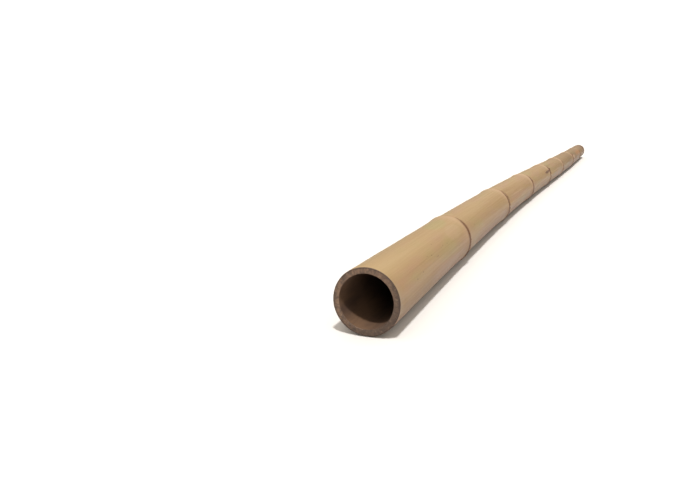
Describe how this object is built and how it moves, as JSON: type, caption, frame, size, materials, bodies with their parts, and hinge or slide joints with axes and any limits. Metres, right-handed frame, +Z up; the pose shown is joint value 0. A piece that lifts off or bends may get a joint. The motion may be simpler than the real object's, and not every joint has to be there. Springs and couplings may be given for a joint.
{
  "type": "bamboo cane",
  "caption": "Thick dry bamboo cane sawn off square at both ends, hollow, with ringed nodes and shallow grooves, lying on its side.",
  "frame": {"origin": "on the surface the cane lies on, under the middle of its box", "axes": "+X along the cane from the thick butt end to the tip, +Z up, +Y across"},
  "size_m": [3.0014, 0.102, 0.0867],
  "materials": {
    "bamboo": "dry straw-coloured bamboo skin with a soft waxy sheen, matt brown where it is sawn"
  },
  "bodies": {
    "root": {"bamboo_cane": "bamboo"}
  },
  "joints": []
}
